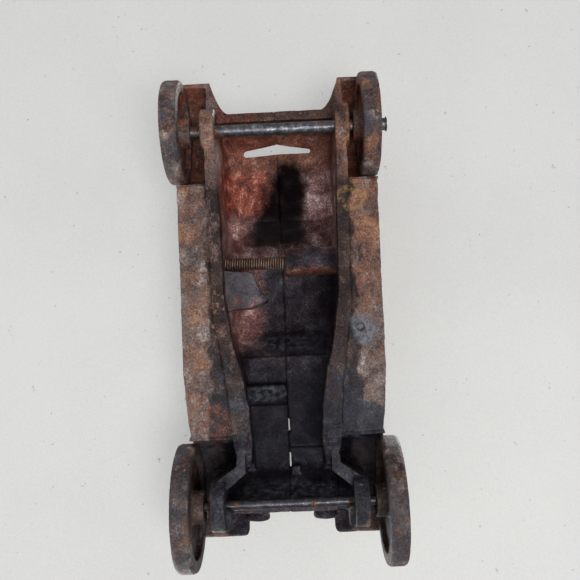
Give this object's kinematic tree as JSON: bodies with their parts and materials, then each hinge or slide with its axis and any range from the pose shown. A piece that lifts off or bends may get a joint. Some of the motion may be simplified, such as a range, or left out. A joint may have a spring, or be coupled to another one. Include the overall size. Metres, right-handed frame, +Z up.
{
  "type": "still bank",
  "caption": "Car-shaped cast iron still bank: half castings clamped by a cross screw, coin slot across the trunk, disc wheels on loose axles, open underside.",
  "frame": {"origin": "middle of the overall length and width, on the ground plane under the wheels", "axes": "+X from the trunk to the radiator, +Y to the car's left, +Z up from the wheels to the roof"},
  "size_m": [0.2016, 0.0944, 0.0768],
  "materials": {
    "cast_body": "old black paint worn through to rust",
    "screw": "rusted steel",
    "axle": "dark worn steel with rust at the ends",
    "wheel": "rusted, with traces of dark paint"
  },
  "bodies": {
    "chassis": {"body_left": "cast_body", "body_right": "cast_body", "clamp_screw": "screw"},
    "rear_axle": {"rear_axle": "axle"},
    "front_axle": {"front_axle": "axle"},
    "rear_left_wheel": {"wheel_rear_left": "wheel"},
    "rear_right_wheel": {"wheel_rear_right": "wheel"},
    "front_left_wheel": {"wheel_front_left": "wheel"},
    "front_right_wheel": {"wheel_front_right": "wheel"}
  },
  "joints": [
    {"name": "rear_axle_spin", "type": "hinge", "parent": "chassis", "child": "rear_axle", "pos_m": [-0.0763, 0, 0.0215], "axis": [0, 1, 0], "continuous": true},
    {"name": "rear_left_wheel_spin", "type": "hinge", "parent": "rear_axle", "child": "rear_left_wheel", "pos_m": [-0.0763, 0.04, 0.0215], "axis": [0, 1, 0], "continuous": true},
    {"name": "rear_right_wheel_spin", "type": "hinge", "parent": "rear_axle", "child": "rear_right_wheel", "pos_m": [-0.0763, -0.04, 0.0215], "axis": [0, 1, 0], "continuous": true},
    {"name": "front_axle_spin", "type": "hinge", "parent": "chassis", "child": "front_axle", "pos_m": [0.0763, 0, 0.0245], "axis": [0, 1, 0], "continuous": true},
    {"name": "front_left_wheel_spin", "type": "hinge", "parent": "front_axle", "child": "front_left_wheel", "pos_m": [0.0763, 0.04, 0.0245], "axis": [0, 1, 0], "continuous": true},
    {"name": "front_right_wheel_spin", "type": "hinge", "parent": "front_axle", "child": "front_right_wheel", "pos_m": [0.0763, -0.04, 0.0245], "axis": [0, 1, 0], "continuous": true}
  ]
}
